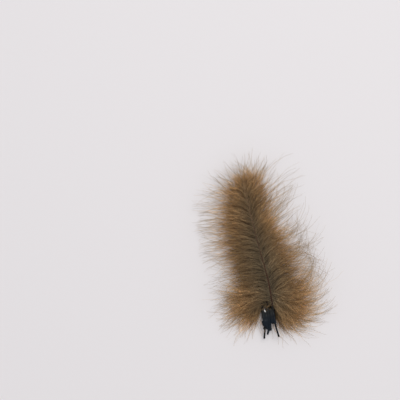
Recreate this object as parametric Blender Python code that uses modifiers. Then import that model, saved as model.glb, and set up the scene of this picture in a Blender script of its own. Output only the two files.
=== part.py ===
"""A bunch of six cul de canard feathers held at the quills, lying flat on a surface.

The shape is laid out from the neck, where a band holds the quills: +Y runs to the tips, +X to
the right seen from above, and the surface is at Z = 0. At the end the whole bunch is moved so
that the origin is under the middle of its box.
"""

import math

import bmesh
import bpy
from mathutils import Vector

MM = 0.001

# The neck, where the quills run straight, side by side in two rows of three
NECK_X = -0.55 * MM
NECK_Y = -1.1 * MM
NECK_Z = 1.95 * MM
NECK_LENGTH = 3.8 * MM
COLUMN_PITCH = 1.42 * MM
ROW_PITCH = 0.86 * MM

# One feather's shaft: a bare quill up to DOWN_START, then the rachis inside the down
QUILL_RADIUS = 0.30 * MM
RACHIS_START_RADIUS = 0.25 * MM
RACHIS_TIP_RADIUS = 0.10 * MM
RACHIS_STEPS = 15
BEND_STEPS = 4
END_STEPS = 3
RIDGE = 0.08 * MM

# The down of one feather: a narrow spine under the rachis, locks on both sides of it, and one
# lock past its end. Lengths in mm and opening angles in degrees, from the rachis's way to a
# lock's mean way, go with t, 0 where the down starts and 1 at the rachis's tip.
DOWN_START = 2.5 * MM
SPINE_HALF_WIDTH = 0.42 * MM
LOCKS_A_SIDE = 20
LOCK_CROWDING = 1.25
LOCK_STEPS = 3
LOCK_FILL_ROOT = 0.90
LOCK_FILL_TIP = 0.40
LOCK_UNEVEN = 0.08
LOCK_BEND = 26
LONG_LOCK = 1.12
LENGTH_LEFT = [(9.2, 0), (9.8, 0.1), (10.6, 0.2), (11.6, 0.35), (12.0, 0.5), (11.2, 0.65), (10.0, 0.8),
               (8.4, 0.9), (5.6, 1)]
LENGTH_RIGHT = [(12.4, 0), (13.4, 0.08), (12.0, 0.2), (10.8, 0.35), (8.4, 0.5), (7.2, 0.65), (7.8, 0.8),
                (7.8, 0.9), (5.6, 1)]
OPENING_LEFT = [(104, 0.08), (92, 0.2), (86, 0.35), (78, 0.5), (68, 0.65), (52, 0.8), (42, 0.9), (26, 1)]
OPENING_RIGHT = [(102, 0.08), (84, 0.2), (76, 0.35), (70, 0.5), (56, 0.65), (50, 0.8), (42, 0.9), (26, 1)]
STRAY_STEPS = 3
STRAY_HALF_WIDTH = 0.16 * MM

# The pile: each feather is a layer between two smooth surfaces, LAYER_GAP clear of the next one
LAYER_GAP = 0.32 * MM
PITCH_EDGE = 0.50 * MM
PITCH_RISE = 0.60 * MM
MOUND_X = 0.4 * MM
MOUND_LEAN = -0.06
MOUND_Y = 13 * MM
MOUND_HALF_WIDTH = 10 * MM
MOUND_LOWER = 13 * MM
MOUND_UPPER = 24 * MM
MOUND_FALL = 1.2

# The dark lacquered band round the neck, a flattened barrel with an open middle
BAND_OUTER_X = 2.30 * MM
BAND_END_X = 2.20 * MM
BAND_INNER_X = 2.10 * MM
BAND_FLATTENING = 0.61
BAND_SIDES = 24
BAND_STEPS = 6

# From the lowest feather to the top one, in mm and degrees. place is its quill's column and row
# in the neck; end is the quill's free end; start, middle and tip are where its rachis runs. droop
# is how far the lowest locks open and reach scales all of them, on the left and on the right.
# strays are locks that run on as a thin wisp: side, number from the quill, added length and bend.
FEATHERS = [
    {"name": "feather_1", "place": (-1, 0), "end": (-2.65, -6.8), "start": (-1.95, 2.5),
     "middle": (-3.0, 16), "tip": (-5.0, 30), "droop": (142, 148), "reach": (0.86, 1.06),
     "strays": [(-1, 14, 2.5, 12)]},
    {"name": "feather_2", "place": (0, 0), "end": (-0.5, -4.9), "start": (-0.55, 2.5),
     "middle": (0.7, 15), "tip": (1.0, 33), "droop": (100, 146), "reach": (1.04, 0.88),
     "strays": [(1, 7, 5, 70), (1, 12, 8, -60), (1, 16, 7.5, 20)]},
    {"name": "feather_3", "place": (1, 0), "end": (0.95, -3.6), "start": (0.9, 2.5),
     "middle": (1.5, 12), "tip": (1.7, 23.5), "droop": (104, 148), "reach": (1.02, 0.96),
     "strays": [(1, 8, 5, 75), (1, 13, 8, -70)]},
    {"name": "feather_4", "place": (-1, 1), "end": (-2.35, -4.2), "start": (-1.95, 2.5),
     "middle": (-3.2, 18), "tip": (-4.6, 34.5), "droop": (146, 92), "reach": (0.88, 1.04),
     "strays": [(-1, 16, 3, 10), (-1, 11, 2, 20)]},
    {"name": "feather_5", "place": (0, 1), "end": (-1.6, -5.8), "start": (-0.55, 2.5),
     "middle": (-0.3, 18), "tip": (0.5, 36.8), "droop": (112, 96), "reach": (1.0, 0.84),
     "strays": [(1, 6, 6, 80), (1, 11, 9, -60), (1, 15, 8, 30)]},
    {"name": "feather_6", "place": (1, 1), "end": (1.35, -6.9), "start": (0.8, 6),
     "middle": (-0.8, 21), "tip": (-2.2, 36.5), "droop": (112, 148), "reach": (0.98, 0.99),
     "strays": []},
]

DOWN_COLOUR = (0.21, 0.135, 0.075)
QUILL_COLOUR = (0.012, 0.014, 0.020)
LACQUER_COLOUR = (0.008, 0.011, 0.020)
TONE_STEP = 0.04


def clear_scene():
    for obj in list(bpy.data.objects):
        bpy.data.objects.remove(obj)


def collection(name):
    made = bpy.data.collections.new(name)
    bpy.context.scene.collection.children.link(made)
    return made


def material(name, colour, roughness):
    made = bpy.data.materials.new(name)
    made.use_nodes = True
    shader = made.node_tree.nodes["Principled BSDF"]
    shader.inputs["Base Color"].default_value = (*colour, 1.0)
    shader.inputs["Roughness"].default_value = roughness
    shader.inputs["Metallic"].default_value = 0.0
    return made


def smoothstep(x):
    x = min(1.0, max(0.0, x))
    return x * x * (3 - 2 * x)


def wobble(*seeds):
    """A fixed value from -1 to 1 that looks random from one set of seeds to the next."""
    mixed = sum(seed * weight for seed, weight in zip(seeds, (12.9898, 78.233, 37.719)))
    return 2 * ((math.sin(mixed) * 43758.5453) % 1.0) - 1


def pitch_at(x, y):
    """The height from one layer's underside to the next one's, most along the middle of the bunch."""
    reach = MOUND_LOWER if y < MOUND_Y else MOUND_UPPER
    across = (x - MOUND_X - MOUND_LEAN * y) / MOUND_HALF_WIDTH
    along = (y - MOUND_Y) / reach
    return PITCH_EDGE + PITCH_RISE * math.exp(-MOUND_FALL * (across ** 2 + along ** 2))


def layer_underside(layer, x, y):
    return layer * pitch_at(x, y)


def layer_thickness(x, y):
    return pitch_at(x, y) - LAYER_GAP


def middle_slope(before, here, after):
    """The slope of a smooth line at a knot, level where the line turns back or runs straight up."""
    if before == here or here == after:
        return (after[0] - before[0]) / (after[1] - before[1])
    below = (here[0] - before[0]) / (here[1] - before[1])
    above = (after[0] - here[0]) / (after[1] - here[1])
    return 0.0 if below * above <= 0 else 2 * below * above / (below + above)


def through(knots, y):
    """The x of a smooth line at y, through knots that are (x, y) pairs with y rising."""
    count = len(knots)
    i = max(k for k in range(count - 1) if y >= knots[k][1] or k == 0)
    (x0, y0), (x1, y1) = knots[i], knots[i + 1]
    before, after = knots[max(i - 1, 0)], knots[min(i + 2, count - 1)]
    slope0 = middle_slope(before, knots[i], knots[i + 1])
    slope1 = middle_slope(knots[i], knots[i + 1], after)
    u, step = (y - y0) / (y1 - y0), y1 - y0
    return (
        x0 * (2 * u ** 3 - 3 * u ** 2 + 1)
        + x1 * (3 * u ** 2 - 2 * u ** 3)
        + step * slope0 * (u ** 3 - 2 * u ** 2 + u)
        + step * slope1 * (u ** 3 - u ** 2)
    )


def neck_place(feather):
    column, row = feather["place"]
    return NECK_X + COLUMN_PITCH * column, NECK_Z + ROW_PITCH * (row - 0.5)


def shaft_knots(feather):
    end, *rest = [(x * MM, y * MM) for x, y in map(feather.get, ("end", "start", "middle", "tip"))]
    neck = [(neck_place(feather)[0], NECK_Y + side * NECK_LENGTH / 2) for side in (-1, 1)]
    return [end, *neck, *rest]


def shaft_radius(y, end_y, tip_y):
    if y < DOWN_START:
        share = (y - end_y) / (DOWN_START - end_y)
        return QUILL_RADIUS + (RACHIS_START_RADIUS - QUILL_RADIUS) * share
    share = (y - DOWN_START) / (tip_y - DOWN_START)
    return RACHIS_START_RADIUS + (RACHIS_TIP_RADIUS - RACHIS_START_RADIUS) * share


def shaft_point(feather, layer, y):
    """The shaft's centre at y: level in the neck, and in the down just proud of its layer's top."""
    knots = shaft_knots(feather)
    x = through(knots, y)
    down_y = max(y, DOWN_START)
    radius = shaft_radius(down_y, knots[0][1], knots[-1][1])
    top = layer_underside(layer, x, down_y) + layer_thickness(x, down_y)
    neck_end = NECK_Y + NECK_LENGTH / 2
    rise = smoothstep((y - neck_end) / (DOWN_START - neck_end))
    return Vector((x, y, neck_place(feather)[1] * (1 - rise) + (top + RIDGE - radius) * rise))


def shaft_samples(feather):
    """Y values along the shaft, closer together where it bends between the neck and the down."""
    end_y, tip_y = feather["end"][1] * MM, feather["tip"][1] * MM
    neck_start, neck_end = NECK_Y - NECK_LENGTH / 2, NECK_Y + NECK_LENGTH / 2
    bend, rachis = DOWN_START - neck_end, tip_y - DOWN_START
    samples = [end_y + (neck_start - end_y) * k / END_STEPS for k in range(END_STEPS + 1)]
    samples += [NECK_Y, neck_end]
    samples += [neck_end + bend * (k + 1) / BEND_STEPS for k in range(BEND_STEPS)]
    return samples + [DOWN_START + rachis * (k + 1) / RACHIS_STEPS for k in range(RACHIS_STEPS)]


def mesh_from_curve(obj):
    """Turns a curve object into a mesh object with its caps joined on, and removes the curve."""
    bpy.context.view_layer.update()
    evaluated = obj.evaluated_get(bpy.context.evaluated_depsgraph_get())
    mesh = bpy.data.meshes.new_from_object(evaluated)
    shape = bmesh.new()
    shape.from_mesh(mesh)
    bmesh.ops.remove_doubles(shape, verts=shape.verts, dist=0.001 * MM)
    bmesh.ops.recalc_face_normals(shape, faces=shape.faces)
    shape.to_mesh(mesh)
    shape.free()
    made = bpy.data.objects.new(obj.name + "_mesh", mesh)
    made.matrix_world = obj.matrix_world
    bpy.data.objects.remove(obj)
    return made


def make_shaft(feather, layer, cutters, finish):
    curve = bpy.data.curves.new(feather["name"] + "_shaft", "CURVE")
    curve.dimensions = "3D"
    curve.bevel_depth = 1.0
    curve.bevel_resolution = 1
    curve.use_fill_caps = True
    samples = shaft_samples(feather)
    spline = curve.splines.new("POLY")
    spline.points.add(len(samples) - 1)
    for point, y in zip(spline.points, samples):
        point.co = (*shaft_point(feather, layer, y), 1.0)
        point.radius = shaft_radius(y, samples[0], samples[-1])
    obj = bpy.data.objects.new(curve.name, curve)
    bpy.context.scene.collection.objects.link(obj)
    shaft = mesh_from_curve(obj)
    shaft.data.materials.clear()
    shaft.data.materials.append(finish)
    shaft.data.shade_smooth()
    shaft.data.set_sharp_from_angle(angle=math.radians(50))
    cutters.objects.link(shaft)
    shaft.hide_render = True
    shaft.display_type = "WIRE"
    return shaft


def spine_at(feather, t):
    """The rachis seen from above at t: its place, and the direction it runs in."""
    knots = shaft_knots(feather)
    tip_y = knots[-1][1]
    y = DOWN_START + (tip_y - DOWN_START) * t
    low, high = (y, y + 0.2 * MM) if t < 0.5 else (y - 0.2 * MM, y)
    heading = Vector((through(knots, high) - through(knots, low), high - low)).normalized()
    return Vector((through(knots, y), y)), heading


def lock_length(t, feather, layer, side, index):
    """The length of a lock, by the outline of its side, with every third one longer."""
    outline = LENGTH_LEFT if side < 0 else LENGTH_RIGHT
    long = LONG_LOCK if index % 3 == layer % 3 else 1.0
    uneven = 1 + LOCK_UNEVEN * wobble(index, layer, side)
    return through(outline, t) * MM * feather["reach"][side > 0] * long * uneven


def opening_at(feather, side, t):
    """How far a lock opens at t, from the droop of the lowest one to the fan at the tip."""
    droop = feather["droop"][side > 0]
    knots = OPENING_RIGHT if side > 0 else OPENING_LEFT
    widest = max(droop, knots[0][0])
    return min(droop, through([(widest, 0), *knots], t))


def lock_line(feather, layer, side, index):
    """The middle line of a lock seen from above, as points from its root to its tip."""
    t = ((index + 0.5) / LOCKS_A_SIDE) ** LOCK_CROWDING
    place, heading = spine_at(feather, t)
    outward = Vector((heading.y, -heading.x)) * side
    angle = opening_at(feather, side, t) - LOCK_BEND / 2
    bend = LOCK_BEND * (1 + 0.5 * wobble(layer, index, side + 5)) / LOCK_STEPS
    length = lock_length(t, feather, layer, side, index)
    steps = [(length / LOCK_STEPS, bend)] * LOCK_STEPS
    for stray_side, number, added, stray_bend in feather["strays"]:
        if (stray_side, number) == (side, index):
            steps += [(added * MM / STRAY_STEPS, stray_bend / STRAY_STEPS)] * STRAY_STEPS
    line = [place + outward * SPINE_HALF_WIDTH]
    for step, turn in steps:
        way = math.radians(angle + turn / 2)
        line.append(line[-1] + (heading * math.cos(way) + outward * math.sin(way)) * step)
        angle += turn
    return line


def lock_edges(lines, index, side):
    """The edges of a lock as pairs of points, the one nearer the quill first, but for its tip."""
    line = lines[index]
    neighbours = [lines[j] for j in (index - 1, index + 1) if 0 <= j < len(lines)]
    pairs = []
    for k in range(1, len(line) - 1):
        along = (line[k + 1] - line[k - 1]).normalized()
        across = Vector((-along.y, along.x)) * side
        if k < LOCK_STEPS:
            room = min(abs((other[k] - line[k]).dot(across)) for other in neighbours)
            fill = LOCK_FILL_ROOT + (LOCK_FILL_TIP - LOCK_FILL_ROOT) * k / LOCK_STEPS
            half = 0.5 * room * fill
        else:
            half = STRAY_HALF_WIDTH
        pairs.append((line[k] - across * half, line[k] + across * half))
    return pairs


def add_side(shape, feather, layer, side, roots):
    """One side's locks as strips of faces, joined to the row of root vertices along the spine."""
    lines = [lock_line(feather, layer, side, index) for index in range(LOCKS_A_SIDE)]
    for index, line in enumerate(lines):
        low, high = roots[index], roots[index + 1]
        for near_quill, near_tip in lock_edges(lines, index, side):
            next_low = shape.verts.new((*near_quill, 0))
            next_high = shape.verts.new((*near_tip, 0))
            shape.faces.new((low, next_low, next_high, high))
            low, high = next_low, next_high
        shape.faces.new((low, shape.verts.new((*line[-1], 0)), high))


def add_spine(shape, feather):
    """The narrow strip under the rachis. Returns its left and right rows of vertices."""
    rows = ([], [])
    for k in range(LOCKS_A_SIDE + 1):
        t = (k / LOCKS_A_SIDE) ** LOCK_CROWDING
        place, heading = spine_at(feather, t)
        outward = Vector((heading.y, -heading.x)) * SPINE_HALF_WIDTH * (1 - 0.4 * t)
        rows[0].append(shape.verts.new((*(place - outward), 0)))
        rows[1].append(shape.verts.new((*(place + outward), 0)))
    for k in range(LOCKS_A_SIDE):
        shape.faces.new((rows[0][k], rows[1][k], rows[1][k + 1], rows[0][k + 1]))
    return rows


def add_end_lock(shape, feather, layer, rows):
    """The lock that runs on past the end of the rachis."""
    place, heading = spine_at(feather, 1)
    length = lock_length(1, feather, layer, 1, layer)
    outward = Vector((heading.y, -heading.x)) * SPINE_HALF_WIDTH * 0.7
    middle = place + heading * length / 2
    low, high = [shape.verts.new((*(middle + outward * side), 0)) for side in (-1, 1)]
    end = shape.verts.new((*(place + heading * length), 0))
    shape.faces.new((rows[0][-1], rows[1][-1], high, low))
    shape.faces.new((low, high, end))


def make_down(feather, layer):
    """The feather's down as one closed layer: a flat comb of locks, raised between two surfaces."""
    shape = bmesh.new()
    rows = add_spine(shape, feather)
    add_side(shape, feather, layer, -1, rows[0])
    add_side(shape, feather, layer, 1, rows[1])
    add_end_lock(shape, feather, layer, rows)
    bmesh.ops.triangulate(shape, faces=shape.faces)
    lower = list(shape.verts)
    raised = bmesh.ops.extrude_face_region(shape, geom=list(shape.faces), use_keep_orig=True)
    upper = [v for v in raised["geom"] if isinstance(v, bmesh.types.BMVert)]
    for vertex in lower:
        vertex.co.z = layer_underside(layer, vertex.co.x, vertex.co.y)
    for vertex in upper:
        x, y = vertex.co.x, vertex.co.y
        vertex.co.z = layer_underside(layer, x, y) + layer_thickness(x, y)
    bmesh.ops.recalc_face_normals(shape, faces=shape.faces)
    mesh = bpy.data.meshes.new(feather["name"])
    shape.to_mesh(mesh)
    shape.free()
    return mesh


def make_feather(feather, layer, parts, cutters, quill):
    """One feather as grown: its quill and rachis fused with its down, a shade lighter by layer."""
    obj = bpy.data.objects.new(feather["name"], make_down(feather, layer))
    colour = [channel * (1 + TONE_STEP * layer) for channel in DOWN_COLOUR]
    obj.data.materials.append(material(feather["name"] + "_down", colour, 0.9))
    parts.objects.link(obj)
    join = obj.modifiers.new("shaft", "BOOLEAN")
    join.operation = "UNION"
    join.material_mode = "TRANSFER"
    join.object = make_shaft(feather, layer, cutters, quill)
    return obj


def make_band(parts):
    """The band that holds the quills: a barrel turned round the neck, then flattened."""
    half = NECK_LENGTH / 2
    profile = []
    for k in range(BAND_STEPS + 1):
        along = 1 - 2 * k / BAND_STEPS
        bulge = 1 - along ** 2
        profile.append((BAND_END_X + (BAND_OUTER_X - BAND_END_X) * bulge, half * along))
    profile += [(BAND_INNER_X, -half), (BAND_INNER_X, half)]
    mesh = bpy.data.meshes.new("quill_band")
    edges = [(k, (k + 1) % len(profile)) for k in range(len(profile))]
    mesh.from_pydata([(x, 0, z) for x, z in profile], edges, [])
    obj = bpy.data.objects.new("quill_band", mesh)
    mesh.materials.append(material("lacquer", LACQUER_COLOUR, 0.3))
    parts.objects.link(obj)
    turn = obj.modifiers.new("turn", "SCREW")
    turn.steps = BAND_SIDES
    turn.render_steps = BAND_SIDES
    turn.use_merge_vertices = True
    turn.merge_threshold = 0.00001
    obj.rotation_euler = (math.radians(-90), 0, 0)
    obj.scale = (1, BAND_FLATTENING, 1)
    obj.location = (NECK_X, NECK_Y, NECK_Z)
    return obj


def box_of(objects):
    """The lowest and highest corners of the objects as the viewport shows them."""
    bpy.context.view_layer.update()
    graph = bpy.context.evaluated_depsgraph_get()
    corners = []
    for obj in objects:
        evaluated = obj.evaluated_get(graph)
        corners += [evaluated.matrix_world @ Vector(corner) for corner in evaluated.bound_box]
    low = Vector(min(corner[axis] for corner in corners) for axis in range(3))
    high = Vector(max(corner[axis] for corner in corners) for axis in range(3))
    return low, high


def main():
    clear_scene()
    parts = collection("cul_de_canard_bunch")
    cutters = collection("cutters")
    quill = material("quill", QUILL_COLOUR, 0.35)
    objects = [
        make_feather(feather, layer, parts, cutters, quill)
        for layer, feather in enumerate(FEATHERS)
    ]
    objects.append(make_band(parts))
    low, high = box_of(objects)
    frame = bpy.data.objects.new("bunch_frame", None)
    parts.objects.link(frame)
    for obj in [*objects, *cutters.objects]:
        obj.parent = frame
    frame.location = (-(low.x + high.x) / 2, -(low.y + high.y) / 2, -low.z)


main()
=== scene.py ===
"""The looks of a bunch of six cul de canard feathers, lying on a pale floor and seen from above.

Each feather is one mesh: a glossy quill that runs on as the rachis, and hundreds of fine barbs
that are themselves fringed with barbules. Lengths are in millimetres in the part's own layout,
which has the neck of the bunch near its origin and +Y towards the tips, and they are moved into
the frame when a mesh is made.
"""

import math

import bpy
import numpy as np
from mathutils import Matrix, Vector


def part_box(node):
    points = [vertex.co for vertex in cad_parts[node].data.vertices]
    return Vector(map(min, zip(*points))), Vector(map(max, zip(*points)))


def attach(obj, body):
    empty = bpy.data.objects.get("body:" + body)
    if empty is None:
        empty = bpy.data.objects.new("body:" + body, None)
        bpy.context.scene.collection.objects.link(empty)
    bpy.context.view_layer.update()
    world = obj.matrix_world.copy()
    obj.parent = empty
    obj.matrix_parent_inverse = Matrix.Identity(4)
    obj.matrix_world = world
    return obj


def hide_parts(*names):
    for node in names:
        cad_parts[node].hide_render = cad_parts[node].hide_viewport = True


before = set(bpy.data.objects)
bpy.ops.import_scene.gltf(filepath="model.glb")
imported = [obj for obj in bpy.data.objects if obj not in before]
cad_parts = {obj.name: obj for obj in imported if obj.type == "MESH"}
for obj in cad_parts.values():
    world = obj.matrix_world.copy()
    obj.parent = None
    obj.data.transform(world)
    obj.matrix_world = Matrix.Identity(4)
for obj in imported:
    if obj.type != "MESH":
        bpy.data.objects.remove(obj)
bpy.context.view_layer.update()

MM = 0.001
SEED = 276
UP = (0.0, 0.0, 1.0)

# The layout that the part's solids follow, with lengths in mm
NECK = np.array((-0.55, -1.1, 1.95))
NECK_LENGTH = 3.8
NECK_LOW = NECK[1] - NECK_LENGTH / 2
NECK_HIGH = NECK[1] + NECK_LENGTH / 2
COLUMN_PITCH = 1.42
ROW_PITCH = 0.86
DOWN_START = 2.5
RIDGE = 0.08
LAYER_GAP = 0.32
PITCH_EDGE = 0.50
PITCH_RISE = 0.60
MOUND = {"x": 0.4, "lean": -0.06, "y": 13.0, "half_width": 10.0, "lower": 13.0, "upper": 24.0}
MOUND_FALL = 1.2
PART_LOCKS_A_SIDE = 20
PART_LOCK_CROWDING = 1.25

# As in the part, from the lowest feather to the top one, in mm and degrees. place is its quill's
# column and row in the neck; end is the quill's free end; start, middle and tip are where its
# rachis runs. droop is how far the lowest barbs open and reach scales the sides' lengths, on the
# left and on the right. strays are the part's long wisps: side, number from the quill, added length
# and bend. Only skirt is the scene's own: how far the loose down at the foot of the rachis hangs.
FEATHERS = [
    {"name": "feather_1", "place": (-1, 0), "end": (-2.65, -6.8), "start": (-1.95, 2.5),
     "middle": (-3.0, 16), "tip": (-5.0, 30), "droop": (142, 148), "reach": (0.86, 1.06),
     "skirt": (160, 150), "strays": [(-1, 14, 2.5, 12)]},
    {"name": "feather_2", "place": (0, 0), "end": (-0.5, -4.9), "start": (-0.55, 2.5),
     "middle": (0.7, 15), "tip": (1.0, 33), "droop": (100, 146), "reach": (1.04, 0.88),
     "skirt": (150, 163), "strays": [(1, 7, 5, 70), (1, 12, 8, -60), (1, 16, 7.5, 20)]},
    {"name": "feather_3", "place": (1, 0), "end": (0.95, -3.6), "start": (0.9, 2.5),
     "middle": (1.5, 12), "tip": (1.7, 23.5), "droop": (104, 148), "reach": (1.02, 0.96),
     "skirt": (112, 167), "strays": [(1, 8, 5, 75), (1, 13, 8, -70)]},
    {"name": "feather_4", "place": (-1, 1), "end": (-2.35, -4.2), "start": (-1.95, 2.5),
     "middle": (-3.2, 18), "tip": (-4.6, 34.5), "droop": (146, 92), "reach": (0.88, 1.04),
     "skirt": (162, 96), "strays": [(-1, 16, 3, 10), (-1, 11, 2, 20)]},
    {"name": "feather_5", "place": (0, 1), "end": (-1.6, -5.8), "start": (-0.55, 2.5),
     "middle": (-0.3, 18), "tip": (0.5, 36.8), "droop": (112, 96), "reach": (1.0, 0.84),
     "skirt": (114, 100), "strays": [(1, 6, 6, 80), (1, 11, 9, -60), (1, 15, 8, 30)]},
    {"name": "feather_6", "place": (1, 1), "end": (1.35, -6.9), "start": (0.8, 6),
     "middle": (-0.8, 21), "tip": (-2.2, 36.5), "droop": (112, 148), "reach": (0.98, 0.99),
     "skirt": (112, 168), "strays": []},
]

# The shaft, finer than the solids': its radii in mm, its rings up to the neck, in it, up to the
# down and in the down, how far the quill's end is cut on the slant, in radii, and its material slot
QUILL_RADIUS = 0.26
RACHIS_START_RADIUS = 0.17
RACHIS_TIP_RADIUS = 0.04
SHAFT_SIDES = 12
SHAFT_RINGS = (8, 5, 8, 60)
SHAFT_SLANT = 0.7
SHAFT_SLOT = 1

# Values along the rachis, each with its place from 0 where the down starts to 1 at the tip: a
# barb's usual length in mm, and the power that keeps its colour dark for longer
LENGTH_LEFT = [(9.8, 0), (10.6, 0.1), (11.2, 0.2), (12.0, 0.35), (12.4, 0.5), (11.8, 0.65),
               (11.2, 0.8), (9.0, 0.9), (5.4, 1)]
LENGTH_RIGHT = [(16.8, 0), (16.6, 0.08), (14.2, 0.2), (12.8, 0.33), (12.4, 0.42), (9.6, 0.52),
                (8.2, 0.65), (9.6, 0.8), (8.8, 0.9), (4.8, 1)]
DARK_LEFT = [(1.9, 0), (1.8, 0.2), (1.7, 0.4), (1.3, 0.55), (1.4, 0.7), (1.5, 0.85), (1.0, 1)]
DARK_RIGHT = [(1.2, 0), (1.3, 0.2), (1.3, 0.35), (1.25, 0.6), (1.6, 0.8), (1.3, 1)]

# The same for a barb's way, in degrees from the rachis's own: where it leaves, how far it has
# turned outwards at FULL_TURN_AT of its usual length, and how far its end has turned besides at
# its usual length
LEAVING_LEFT = [(58, 0), (60, 0.2), (58, 0.4), (54, 0.55), (46, 0.7), (32, 0.85), (10, 1)]
TURN_LEFT = [(42, 0), (38, 0.1), (34, 0.2), (32, 0.35), (30, 0.5), (26, 0.65), (28, 0.8), (20, 1)]
END_TURN_LEFT = [(12, 0), (5, 0.2), (-8, 0.4), (-12, 0.5), (4, 0.65), (12, 0.8), (12, 1)]
LEAVING_RIGHT = [(42, 0), (46, 0.2), (52, 0.35), (52, 0.5), (48, 0.65), (38, 0.8), (28, 0.9), (10, 1)]
TURN_RIGHT = [(68, 0), (60, 0.1), (44, 0.2), (32, 0.35), (26, 0.5), (6, 0.65), (12, 0.8), (18, 0.9),
              (20, 1)]
END_TURN_RIGHT = [(-66, 0), (-60, 0.12), (-46, 0.2), (-22, 0.35), (-12, 0.5), (-20, 0.65), (-8, 0.8),
                  (4, 1)]
FULL_TURN_AT = 0.62

# The share of barbs falls off with their length against the usual one
SHORTEST = 0.42
THINNING = 0.27
LONGEST = 1.6

# The barbs of a side, from the lowest feather to the top one. They leave the rachis in tufts. The
# spreads are in shares of a tuft, then in degrees, and for fluff in mm. A few short ones are wild
# and lie across the others, and long ones stray less and are barer. Below DROOP_REACH of the
# rachis they hang by what droop is past HANGING_FROM, but not on the top feather.
BARBS_A_SIDE = (220, 230, 230, 350, 460, 500)
BARBS_A_TUFT = 8
TUFT_JITTER = 0.08
BARB_JITTER = 0.05
TUFT_LEAVING_SPREAD = 1.5
LEAVING_SPREAD = 2.5
WILD_LEAVING_SPREAD = 24
WILD_SHARE = 0.12
WILD_LONGEST = 0.8
TURN_SPREAD = 12
END_TURN_SPREAD = 48
FLUFF_SPREAD = 0.55
LOOSENESS = ((0.6, 1.1), (1.0, 0.35))
SIDE_FRINGE = ((0.8, 1.3), (1.0, 0.4))
# TUFT_GAP_SHADE darkens the barbs at the edges of each tuft and lightens its middle: painted shade in
# the gaps between tufts
TUFT_GAP_SHADE = 1.2
BARB_TONE_SPREAD = 0.3
WILD_TONE = 0.7
HANGING_FROM = 100
DROOP_REACH = 0.15

# The fan past the end of the rachis, with lengths in mm. Some of its barbs are long and bare, and
# the usual length is END_USUAL of END_LENGTH.
END_BARBS = (16, 40, 20, 46, 54, 54)
END_LENGTH = 5.4
END_USUAL = 0.72
END_SHARES = (0.45, 0.9)
END_BARE_SHARE = 0.6
END_BARE_LENGTH = (5.4, 9.4)

# The loose down at the foot of the rachis. It leaves at BASE_FROM degrees or more, crowded towards
# the lowest. The angle sets its usual length in mm, which BASE_REACH scales on the left and on the
# right. On the right the angle also sets its end's turn and the power of its colour, and past
# STEEP_FROM the down is darker altogether.
STRAIGHT_OUT = 90
BASE_BARBS = (180, 250, 330, 120, 140, 190)
BASE_SHARES = (0.56, 1.2)
BASE_FROM = 66
BASE_CROWDING = 0.68
BASE_LENGTH = [(16.4, 90), (16.2, 120), (14.8, 142), (12.2, 166)]
BASE_REACH = (0.84, 1.06)
BASE_END_TURN = [(-60, 66), (-70, 90), (-66, 120), (-36, 142), (-30, 166)]
BASE_DARK_LEFT = 1.1
BASE_DARK_RIGHT = ((88, 160), (0.7, 1.2))
STEEP_FROM = 120
STEEP_OVER = 40
STEEP_TONE = -0.4

# Short down over the band, and a tangle on the left of the top rachis
COLLAR_BARBS = (0, 0, 0, 12, 26, 30)
TANGLED_BARBS = (0, 0, 0, 0, 0, 105)

# The number of hairs round each stray lock of the part, by how far up the side it is. They leave
# the rachis within STRAY_LOCKS locks of it, and they bend from STRAY_END_FROM of the usual length
# on, which leaves STRAY_END_REST of that length.
STRAY_HAIRS_LEFT = [(26, 0), (26, 1)]
STRAY_HAIRS_RIGHT = [(12, 0), (12, 0.35), (20, 0.55), (14, 0.7), (15, 0.82), (15, 1)]
STRAY_LOCKS = 3
STRAY_LOWEST = 0.02
STRAY_END_FROM = 0.8
STRAY_END_REST = 0.2

# A barb's sway, in degrees and in waves to the mm. Past SWAY_FULL_AT of the usual length it calms.
SWAY = 22
SWAY_FULL_AT = 0.6
SWAY_CALMED = 0.7
SWAY_CALM_OVER = 0.4
WAVES_PER_MM = (0.10, 0.30)

# One to three neighbours make a small lock, and are drawn together by up to CLING at their ends
LOCK_SIZES = (1, 4)
CLING = 0.12
CLING_POWER = 1.3

# Where a barb lies in its layer's height, by its tone and by chance and within LIFT_LIMITS. It is
# there from SETTLED_AT of its length on. The ripple and the heights over the floor are in mm, and
# heights below SOFT_FLOOR level off towards the floor.
TONE_LIFT = 0.25
RANDOM_LIFT = 0.25
LIFT_LIMITS = (0.05, 0.95)
SETTLED_AT = 0.22
FLUFF_POWER = 1.3
RIPPLE = 0.18
SOFT_FLOOR = 0.3
FLOOR_CLEARANCE = 0.03

# How many points a barb has, for lengths up to so many mm, and its ribbon's width in mm at both
# ends and roll in radians
BARB_POINTS = [(4.5, 20), (8.0, 32), (12.0, 44), (99.0, 56)]
BARB_WIDTH = (0.085, 0.030)
RIBBON_ROLL_SPREAD = 0.6

# The barbules: their length in mm, their angle to the barb in degrees, and how far they turn round
# it in radians. They grow over the first mm of the barb and get shorter over the last share of it.
BARBULE_LENGTH = 0.66
BARBULE_SHARES = (0.55, 1.25)
BARBULE_ANGLE = 50
BARBULE_ANGLE_SPREAD = 10
BARBULE_TURN = 1.2
ROOT_FRINGE = 0.15
GROWING_FROM = 0.6
GROWING_OVER = 4.0
SHORTENED = 0.8
SHORTENING_FROM = 0.55
SHORTENING_OVER = 0.45

# The UV map that the materials read. U runs outwards along a barb by up to BARB_UV, from 0 on its
# ribbon and from BARBULE_UV on its barbules, and it starts further out towards the feather's tip.
# V is the barb's tone. Beside them the shaft has the strip SHAFT_UV, with V up its length.
BARB_UV = 0.44
BARBULE_UV = 0.46
BARBULE_TIP_UV = 0.01
TONE_V = 0.20
TONE_LIMITS = (0.01, 0.99)
TONE_STRIP = 0.00048
TIP_LIGHTENING = 0.45
TIP_LIGHTENING_POWER = 2.5
SHAFT_UV = (0.93, 0.99)


def neck_shift():
    """What moves the layout into the frame: the band is round the neck in both."""
    low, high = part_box("quill_band")
    return np.array((low + high) / 2) - NECK * MM


SHIFT = neck_shift()


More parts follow.
